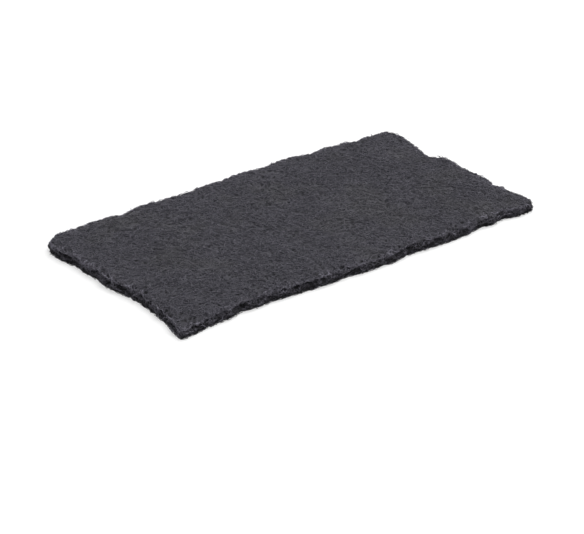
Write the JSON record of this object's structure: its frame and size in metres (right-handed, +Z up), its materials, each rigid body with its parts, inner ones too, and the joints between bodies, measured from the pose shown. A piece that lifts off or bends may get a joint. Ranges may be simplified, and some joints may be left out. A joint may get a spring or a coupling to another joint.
{
  "type": "non-woven abrasive strip",
  "caption": "Flat springy strip of resin-bonded, grit-coated fibre web, cut to a rough rectangle, for rubbing down and scouring surfaces by hand.",
  "frame": {"origin": "under the middle of the strip, on the surface that it lies on", "axes": "+X along the strip's length, +Y across its width towards the back long edge, +Z up out of the working face"},
  "size_m": [0.2286, 0.1246, 0.0071],
  "materials": {
    "fibre_web": "dull, rough, open fibre web coated with resin and fine dark grain"
  },
  "bodies": {
    "root": {"abrasive_strip": "fibre_web"}
  },
  "joints": []
}
